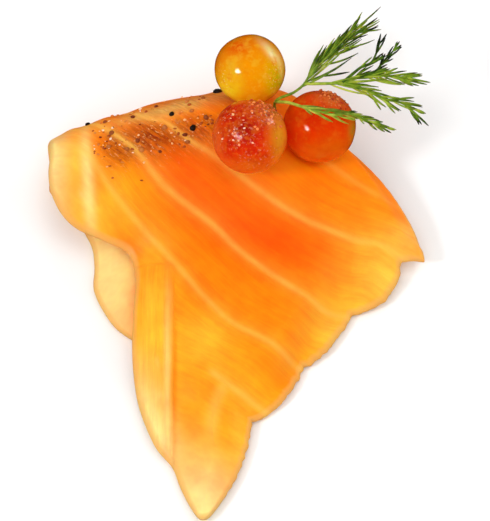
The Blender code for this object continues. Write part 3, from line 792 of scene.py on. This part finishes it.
def lump(detail, size, squeeze, seed):
    """Points and faces of one uneven grain about the origin."""
    ball, faces = round_ball(detail)
    start = Vector((seed * 3.1, seed * 1.7, 0))
    points = [p * (1 + LUMP * noise.noise(p * LUMP_DETAIL + start)) for p in ball]
    turn = Matrix.Rotation(seed * 2.4, 3, "X") @ Matrix.Rotation(seed * 1.3, 3, "Z")
    squeezed = [turn @ Vector((p.x, p.y * squeeze[0], p.z * squeeze[1])) for p in points]
    return [p * size / 2 for p in squeezed], faces


def make_grains(name, spots, look, detail=2, squeeze=(0.85, 0.7), tones=None):
    """Many uneven grains joined in one piece, each at its (point, size)."""
    points, faces, tone = [], [], []
    for k, (place, size) in enumerate(spots):
        grain, sides = lump(detail, size, squeeze, k + 1)
        start = len(points)
        points += [Vector(place) + p for p in grain]
        faces += [tuple(i + start for i in side) for side in sides]
        tone += [tones[k] if tones else (k * GOLDEN_STEP) % 1.0] * len(grain)
    piece = new_piece(name, points, faces, grain_material(look))
    set_attributes(piece.data, {"tone": tone})
    return piece


def pepper_spots():
    random.seed(PEPPER_SEED)
    span = FOLD_RIGHT - FOLD_LEFT
    spots = list(PEPPER_PLACES)
    while len(spots) < len(PEPPER_PLACES) + PEPPER_SCATTER:
        across, ahead = random.uniform(*PEPPER_ACROSS), random.uniform(*PEPPER_AHEAD)
        apart = min(math.hypot((across - spot[0]) * span, ahead - spot[1]) for spot in spots)
        if apart > PEPPER_SPACING:
            spots.append((across, ahead, random.uniform(*PEPPER_SIZE)))
    return spots


def skin_point(across, ahead):
    """Point of the outer face near the fold's top, with places behind it counted as negative."""
    if ahead < 0:
        degrees = math.degrees(-ahead / LOOP_RADIUS[1][1])
        made = loop_layer(np.array([across]), np.array([degrees]), np.array([0.0]))
    else:
        made = upper_layer(np.array([across]), np.array([1 - ahead / LEFT.length]), np.array([0.0]))
    return Vector(seated(made[0])[0])


def scatter(count, across_range, ahead_range, size_range):
    spots = []
    for _ in range(count):
        across = random.uniform(*across_range)
        near, far = ahead_range
        ahead = random.gauss((near + far) / 2, (far - near) / SCATTER_DEVIATIONS)
        size = random.uniform(*size_range)
        spots.append((skin_point(across, ahead), size))
    return spots


def bead_spots(patches, size_range):
    """Grains on the beads, thickest in the middle of each patch."""
    spots = []
    for bead, direction, spread, count in patches:
        centre, radius = BEADS[bead]
        for _ in range(count):
            lean = Vector([random.gauss(0, spread / 2) for _ in range(3)])
            away = (Vector(direction).normalized() + lean).normalized()
            away.z *= BEAD_SQUASH
            spots.append((Vector(centre) + away * radius, random.uniform(*size_range)))
    return spots


def make_bead(name, node):
    """A bead of roe: a round skin, slightly uneven."""
    centre, radius = Vector(BEADS[node][0]), BEADS[node][1]
    ball, faces = round_ball(BEAD_DETAIL)
    points = []
    for away in ball:
        uneven = 1 + BEAD_UNEVEN * noise.noise(away * BEAD_UNEVEN_SCALE + centre)
        uneven += BEAD_RIPPLE * noise.noise(away * BEAD_RIPPLE_SCALE + centre)
        point = away * radius * uneven
        points.append(centre + Vector((point.x, point.y, point.z * BEAD_SQUASH)))
    piece = new_piece(name, points, faces, bead_material(node))
    directions = np.array(ball)
    seen = seen_on_disk(directions)
    grains_and_glints = np.zeros(len(ball))
    for middle, half_size, strength in BEAD_GRAINS_AND_GLINTS[node]:
        grains_and_glints = np.maximum(grains_and_glints, strength * spot_strength(seen, middle, half_size, 0))
    front = smooth_step(directions @ np.array(SHOWN_FROM) + BEAD_WRAP)
    # The tint holds the bead's own colours, plus painted glow where light shines through it and painted
    # light streaks
    tint = painted_over(np.tile(linear(BEAD_BASE[node]), (len(ball), 1)), BEAD_COLOUR_AND_LIGHT_SPOTS[node], seen, front)
    set_attributes(piece.data, {"direction": directions, "tint": tint, "grains_and_glints": grains_and_glints})
    return piece


def clear_of_beads(point, room):
    for centre, radius in BEADS.values():
        away = point - Vector(centre)
        if away.length < radius + room:
            point = Vector(centre) + away.normalized() * (radius + room)
    return point


class Tubes:
    """Tapering stems and leaflets gathered into one mesh, each with a tone from base to tip."""

    def __init__(self):
        self.points, self.faces, self.tones = [], [], []

    def add(self, line, radii, tones, flatness=1.0):
        self.faces += ring_faces(len(line), TUBE_SIDES, len(self.points))
        facing = SHOWN_FROM
        for k, (point, radius, tone) in enumerate(zip(line, radii, tones)):
            ahead = (line[min(k + 1, len(line) - 1)] - line[max(k - 1, 0)]).normalized()
            side = ahead.cross(facing).normalized()
            facing = side.cross(ahead).normalized()
            for n in range(TUBE_SIDES):
                angle = math.tau * n / TUBE_SIDES
                spoke = side * math.cos(angle) + facing * math.sin(angle) * flatness
                self.points.append(point + spoke * radius)
                self.tones.append(tone)


def add_leaflet(tubes, root, ahead, sideways, upwards, angle, length, radius, tone):
    """One thread of a leaflet; returns the point and direction where a fork can leave it."""
    course = ahead * math.cos(angle) + sideways * math.sin(angle)
    course = (course + upwards * random.uniform(-LEAFLET_LEAN, LEAFLET_LEAN)).normalized()
    line, radii, tones = [], [], []
    for k, taper in enumerate(LEAFLET_TAPER):
        t = k / (len(LEAFLET_TAPER) - 1)
        bend = (ahead - course) * LEAFLET_BEND * length * t * t
        line.append(clear_of_beads(root + course * length * t + bend, radius + LEAFLET_ROOM))
        radii.append(radius * taper)
        tones.append(tone + LEAFLET_DARKENING * t * t)
    tubes.add(line, radii, tones, LEAFLET_FLATNESS)
    return line[2], course


def make_dill():
    """Feathery sprig: stems that fork, with pairs of fine leaflets that lean forwards."""
    random.seed(DILL_SEED)
    tubes = Tubes()
    for stem, first, pairs, left, right, dark in FRONDS:
        path = Path(curve_through(stem, 6))
        shares = [k / STEM_STEPS for k in range(STEM_STEPS + 1)]
        line = [clear_of_beads(Vector(path.at(STEM_END * t)), STEM_RADIUS + CLEARANCE) for t in shares]
        radii = [STEM_RADIUS * (1 - (1 - STEM_TIP) * t) for t in shares]
        tubes.add(line, radii, [dark + STEM_TONE[0] + STEM_TONE[1] * t for t in shares])
        for k in range(pairs):
            share = first + (STEM_END - first) * k / (pairs - 1)
            root = Vector(path.at(share))
            ahead = Vector(path.at(share + STEM_WINDOW) - path.at(share - STEM_WINDOW)).normalized()
            sideways = ahead.cross(SHOWN_FROM).normalized()
            upwards = sideways.cross(ahead)
            for side, (longest, spread) in ((-1, left), (1, right)):
                angle = math.radians(spread * random.uniform(*LEAFLET_ANGLE))
                shortened = longest * (1 - LEAFLET_SHORTENING * k / pairs)
                length = shortened * random.uniform(*LEAFLET_LENGTH)
                radius = random.uniform(*LEAFLET_RADIUS)
                tone = dark + STEM_DARKENING * share + random.uniform(*LEAFLET_TONE)
                fork, course = add_leaflet(
                    tubes, root, ahead, sideways * side, upwards, angle, length, radius, tone)
                if random.random() < FORKED:
                    turn = math.radians(random.uniform(*FORK_ANGLE)) * random.choice((-1, 1))
                    add_leaflet(tubes, fork, course, sideways, upwards, turn, length * FORK_LENGTH,
                                radius * FORK_RADIUS, tone + FORK_TONE)
    piece = new_piece("dill_fronds", tubes.points, tubes.faces, dill_material())
    set_attributes(piece.data, {"tone": tubes.tones})
    return piece


def plug(tree, value, socket):
    """Links a node's output to a socket, or sets the socket to a plain value."""
    if isinstance(value, bpy.types.NodeSocket):
        tree.links.new(value, socket)
    else:
        socket.default_value = value


def add_node(tree, kind, output, inputs=(), **settings):
    """Adds a node with its inputs plugged, by name or number, and gives back one of its outputs."""
    made = tree.nodes.new(kind)
    for name, value in settings.items():
        setattr(made, name, value)
    for name, value in dict(inputs).items():
        plug(tree, value, made.inputs[name])
    return made.outputs[output]


def attribute(tree, name, output="Fac"):
    return add_node(tree, "ShaderNodeAttribute", output, attribute_name=name)


def noise_of(tree, vector, scale, detail=3.0, roughness=0.55):
    make = {"Vector": vector, "Scale": scale, "Detail": detail, "Roughness": roughness}
    return add_node(tree, "ShaderNodeTexNoise", "Fac", make)


def stretched(tree, vector, scale):
    return add_node(tree, "ShaderNodeMapping", "Vector", {"Vector": vector, "Scale": scale})


def drawn_out(tree, vector, lengths, turn):
    """Coordinates in which a noise is drawn out to these lengths, its long side turned by an angle."""
    places = {"Vector": vector, "Scale": lengths, "Rotation": (0, 0, math.radians(turn))}
    return add_node(tree, "ShaderNodeMapping", "Vector", places, vector_type="TEXTURE")


def spread(tree, value, low, high, to_low=0.0, to_high=1.0):
    ends = {"From Min": low, "From Max": high, "To Min": to_low, "To Max": to_high}
    return add_node(tree, "ShaderNodeMapRange", "Result", {"Value": value, **ends})


def combined(tree, a, b, operation="ADD"):
    return add_node(tree, "ShaderNodeMath", 0, {0: a, 1: b}, operation=operation)


def mixed(tree, factor, a, b, blend="MIX"):
    return add_node(tree, "ShaderNodeMix", 2, {0: factor, 6: a, 7: b}, data_type="RGBA", blend_type=blend)


def bumped(tree, height, distance, strength, **below):
    make = {"Height": height, "Distance": distance * MM, "Strength": strength, **below}
    return add_node(tree, "ShaderNodeBump", "Normal", make)


def new_material(name, **plain):
    """A material whose shader has these plain values on its own sockets."""
    made = bpy.data.materials.new(name)
    made.use_nodes = True
    shader = made.node_tree.nodes["Principled BSDF"]
    for key, value in plain.items():
        shader.inputs[key.replace("_", " ")].default_value = value
    return made, made.node_tree, shader


def flesh_material():
    """Raw salmon: fibres that run with the white lines, and a peppered top that is browned in streaks, with
    painted glints on it.
    """
    material, tree, shader = new_material(
        "salmon_flesh", Subsurface_Weight=0.3, Subsurface_Scale=0.001, Subsurface_Radius=(1.0, 0.4, 0.12),
        Specular_IOR_Level=0.14, Coat_Weight=0.03, Coat_Roughness=0.2)
    flat = attribute(tree, "flat", "Vector")
    grain = attribute(tree, "grain", "Vector")
    streaks = noise_of(tree, stretched(tree, grain, (0.14, 9.0, 1.0)), 1.0, 4.0)
    fine = noise_of(tree, stretched(tree, grain, (0.4, 30.0, 1.0)), 1.0, 2.0)
    cloud = noise_of(tree, flat, 0.28, 3.0)
    tint = attribute(tree, "tint", "Color")
    fibres = combined(tree, streaks, combined(tree, fine, 0.5, "MULTIPLY"))
    shade = spread(tree, combined(tree, fibres, cloud), 1.0, 1.5, 0.82, 1.12)
    grey = add_node(tree, "ShaderNodeCombineColor", "Color", {"Red": 1.0, "Green": shade, "Blue": shade})
    colour = mixed(tree, 1.0, tint, grey, "MULTIPLY")
    rim = spread(tree, attribute(tree, "edge"), 0.0, 0.1, 0.75, 0.0)
    colour = mixed(tree, rim, colour, linear(RIM_COLOUR))
    seared = attribute(tree, "seared")
    burn = noise_of(tree, drawn_out(tree, flat, (2.2, 0.5, 0.8), -38), 1.0, 3.5, 0.65)
    browning = combined(tree, seared, spread(tree, burn, 0.34, 0.58, 0.35, 1.0), "MULTIPLY")
    colour = mixed(tree, browning, colour, linear(SEARED_COLOUR))
    patchy = spread(tree, cloud, 0.3, 0.65, 0.7, 1.0)
    septum = combined(tree, attribute(tree, "septum"), patchy, "MULTIPLY")
    colour = mixed(tree, septum, colour, linear(SEPTUM_COLOUR))
    # Pale streaks over the browned top: painted glints
    glint_streaks = noise_of(tree, drawn_out(tree, flat, (0.8, 0.32, 0.5), -35), 1.0, 3.0, 0.7)
    pale = combined(tree, seared, spread(tree, glint_streaks, 0.58, 0.68, 0.0, 0.7), "MULTIPLY")
    colour = mixed(tree, pale, colour, linear(GLINT_COLOUR))
    plug(tree, colour, shader.inputs["Base Color"])
    plug(tree, spread(tree, cloud, 0.3, 0.7, 0.34, 0.52), shader.inputs["Roughness"])
    smooth = bumped(tree, fibres, 0.12, 0.6)
    plug(tree, bumped(tree, burn, 0.3, seared, Normal=smooth), shader.inputs["Normal"])
    return material


def bead_material(node):
    """Roe skin: painted depths, painted glow and light streaks, darker and lighter grains, and pale grains
    that are partly painted glints, seen through a wet surface.
    """
    dark, light, pale = map(linear, BEAD_TONES[node])
    material, tree, shader = new_material(
        node, Subsurface_Weight=1.0, Subsurface_Scale=0.004, Subsurface_Radius=(1.0, 0.4, 0.1),
        Transmission_Weight=0.48, Specular_IOR_Level=0.6, IOR=1.34, Roughness=0.03, Coat_Weight=0.3,
        Coat_Roughness=0.03)
    direction = attribute(tree, "direction", "Vector")
    grains_and_glints = attribute(tree, "grains_and_glints")
    colour = attribute(tree, "tint", "Color")
    # The last, pale layer of grains is partly painted glints
    layers = [(dark, 2.6, 0.5, 0.15, 0.15), (light, 3.4, 0.54, 0.4, 0.4), (dark, 8.0, 0.5, 0.12, 0.8),
              (light, 11.0, 0.52, 0.14, 0.65), (pale, 14.0, 0.6, 0.0, 1.0)]
    for shade, scale, start, least, most in layers:
        spots = spread(tree, noise_of(tree, direction, scale, 2.0), start, start + 0.12)
        shown = combined(tree, spots, spread(tree, grains_and_glints, 0.0, 1.0, least, most), "MULTIPLY")
        colour = mixed(tree, shown, colour, shade)
    # Light passes the skin twice, so the skin itself is paler than the colour that shows
    skin = add_node(tree, "ShaderNodeGamma", "Color", {"Color": colour, "Gamma": 0.74})
    plug(tree, skin, shader.inputs["Base Color"])
    uneven = spread(tree, grains_and_glints, 0.0, 1.0, 0.12, 0.6)
    plug(tree, bumped(tree, noise_of(tree, direction, 6.0, 4.0), 0.3, uneven), shader.inputs["Normal"])
    return material


def grain_material(name):
    *colours, rough = GRAIN_LOOKS[name]
    dark, middle, light = map(linear, colours)
    material, tree, shader = new_material(name, Roughness=rough, Specular_IOR_Level=0.3)
    tone = attribute(tree, "tone")
    colour = mixed(tree, spread(tree, tone, 0.0, 0.5), dark, middle)
    plug(tree, mixed(tree, spread(tree, tone, 0.5, 1.0), colour, light), shader.inputs["Base Color"])
    return material


def dill_material():
    material, tree, shader = new_material(
        "dill_leaf", Roughness=0.45, Specular_IOR_Level=0.35, Subsurface_Weight=0.2, Subsurface_Scale=0.0005)
    tone = attribute(tree, "tone")
    where = add_node(tree, "ShaderNodeTexCoord", "Object")
    patch = noise_of(tree, where, 900.0, 2.0)
    wander = combined(tree, tone, spread(tree, patch, 0.3, 0.7, -0.2, 0.2))
    # The palest green is partly painted highlight
    pale_highlight_green, light, green, dark = map(linear, DILL_GREENS)
    colour = mixed(tree, spread(tree, wander, 0.0, 0.35), pale_highlight_green, light)
    colour = mixed(tree, spread(tree, wander, 0.35, 0.7), colour, green)
    colour = mixed(tree, spread(tree, wander, 0.7, 1.0), colour, dark)
    plug(tree, colour, shader.inputs["Base Color"])
    plug(tree, bumped(tree, noise_of(tree, where, 2600.0), 0.04, 0.4), shader.inputs["Normal"])
    return material


def floor_material():
    material, tree, shader = new_material("pale_floor", Roughness=0.85, Specular_IOR_Level=0.1)
    where = add_node(tree, "ShaderNodeTexCoord", "Object")
    plug(tree, mixed(tree, noise_of(tree, where, 30.0), *FLOOR_SHADES), shader.inputs["Base Color"])
    return material


def place_piece(piece, slot_name, *nodes):
    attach(piece, "root")
    if nodes:
        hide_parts(*nodes)


def make_floor():
    mesh = bpy.data.meshes.new("floor")
    corners = [(x * FLOOR_REACH, y * FLOOR_REACH, 0) for x, y in ((-1, -1), (1, -1), (1, 1), (-1, 1))]
    mesh.from_pydata(corners, [], [(0, 1, 2, 3)])
    mesh.materials.append(floor_material())
    floor = bpy.data.objects.new("floor", mesh)
    floor.location.z = -FLOOR_DROP
    floor.visible_glossy = False
    bpy.context.scene.collection.objects.link(floor)


def make_light(name, direction, distance, size, power, glossy):
    data = bpy.data.lights.new(name, "AREA")
    data.shape = "DISK"
    data.size = size
    data.energy = power
    lamp = bpy.data.objects.new(name, data)
    lamp.location = Vector(direction).normalized() * distance
    lamp.visible_glossy = glossy
    lamp.rotation_mode = "QUATERNION"
    lamp.rotation_quaternion = Vector(direction).to_track_quat("Z", "Y")
    bpy.context.scene.collection.objects.link(lamp)


def make_lights():
    for lamp in LAMPS:
        make_light(*lamp)
    world = bpy.data.worlds.new("studio")
    bpy.context.scene.world = world
    world.use_nodes = True
    background = world.node_tree.nodes["Background"]
    background.inputs["Color"].default_value = (1, 1, 1, 1)
    background.inputs["Strength"].default_value = WORLD_STRENGTH
    world.cycles_visibility.glossy = False


def make_camera():
    """Looks at the slice from the photograph's angle, with the photograph's scale."""
    back = Vector((0, -math.cos(ELEVATION), math.sin(ELEVATION)))
    up = back.cross(RIGHTWARDS)
    aim = SHIFT + up * AIM * MM
    data = bpy.data.cameras.new("camera")
    data.sensor_width = SENSOR
    data.lens = SENSOR * CAMERA_DISTANCE / (max(IMAGE_WIDTH, IMAGE_HEIGHT) * PIXEL * MM)
    data.clip_start = 0.01
    camera = bpy.data.objects.new("camera", data)
    camera.matrix_world = Matrix.Translation(aim + back * CAMERA_DISTANCE) @ Matrix(
        (RIGHTWARDS, up, back)).transposed().to_4x4()
    bpy.context.scene.collection.objects.link(camera)
    bpy.context.scene.camera = camera


def build():
    make_camera()
    make_lights()
    make_floor()
    bpy.context.scene.view_settings.view_transform = "Standard"

    place_piece(make_flesh(), "salmon", "salmon_slice")

    spots = pepper_spots()
    pepper = [(skin_point(across, ahead), size) for across, ahead, size in spots]
    least, most = PEPPER_TONE
    tones = [0.0 if spot in PEPPER_PLACES else least + most * (k * GOLDEN_STEP % 1.0)
             for k, spot in enumerate(spots)]
    place_piece(make_grains("pepper_grains", pepper, "pepper", tones=tones), "salmon")
    flakes = scatter(FLAKES, *FLAKE_BAND, FLAKE_SIZE)
    place_piece(make_grains("spice_flakes", flakes, "brown_spice", 2, (0.7, 0.35)), "salmon")
    # Pale specks: partly cream bits, partly painted glints on the fold's top and on the front bead
    specks = scatter(SPECKS, *SPECK_BAND, SPECK_SIZE) + bead_spots(SPECK_PATCHES, SPECK_SIZE)
    place_piece(make_grains("cream_specks_and_glints", specks, "cream_specks_and_glints", 1, (0.7, 0.4)), "salmon")

    place_piece(make_bead("roe_bead_front", "roe_front"), "roe_red", "roe_front")
    place_piece(make_bead("roe_bead_right", "roe_right"), "roe_red", "roe_right")
    place_piece(make_bead("roe_bead_top", "roe_top"), "roe_yellow", "roe_top")
    spice = bead_spots(SPICE_PATCHES, SPICE_SIZE)
    place_piece(make_grains("bead_spice", spice, "bead_spice", 1), "roe_red")

    place_piece(make_dill(), "dill", "dill_sprig")


build()
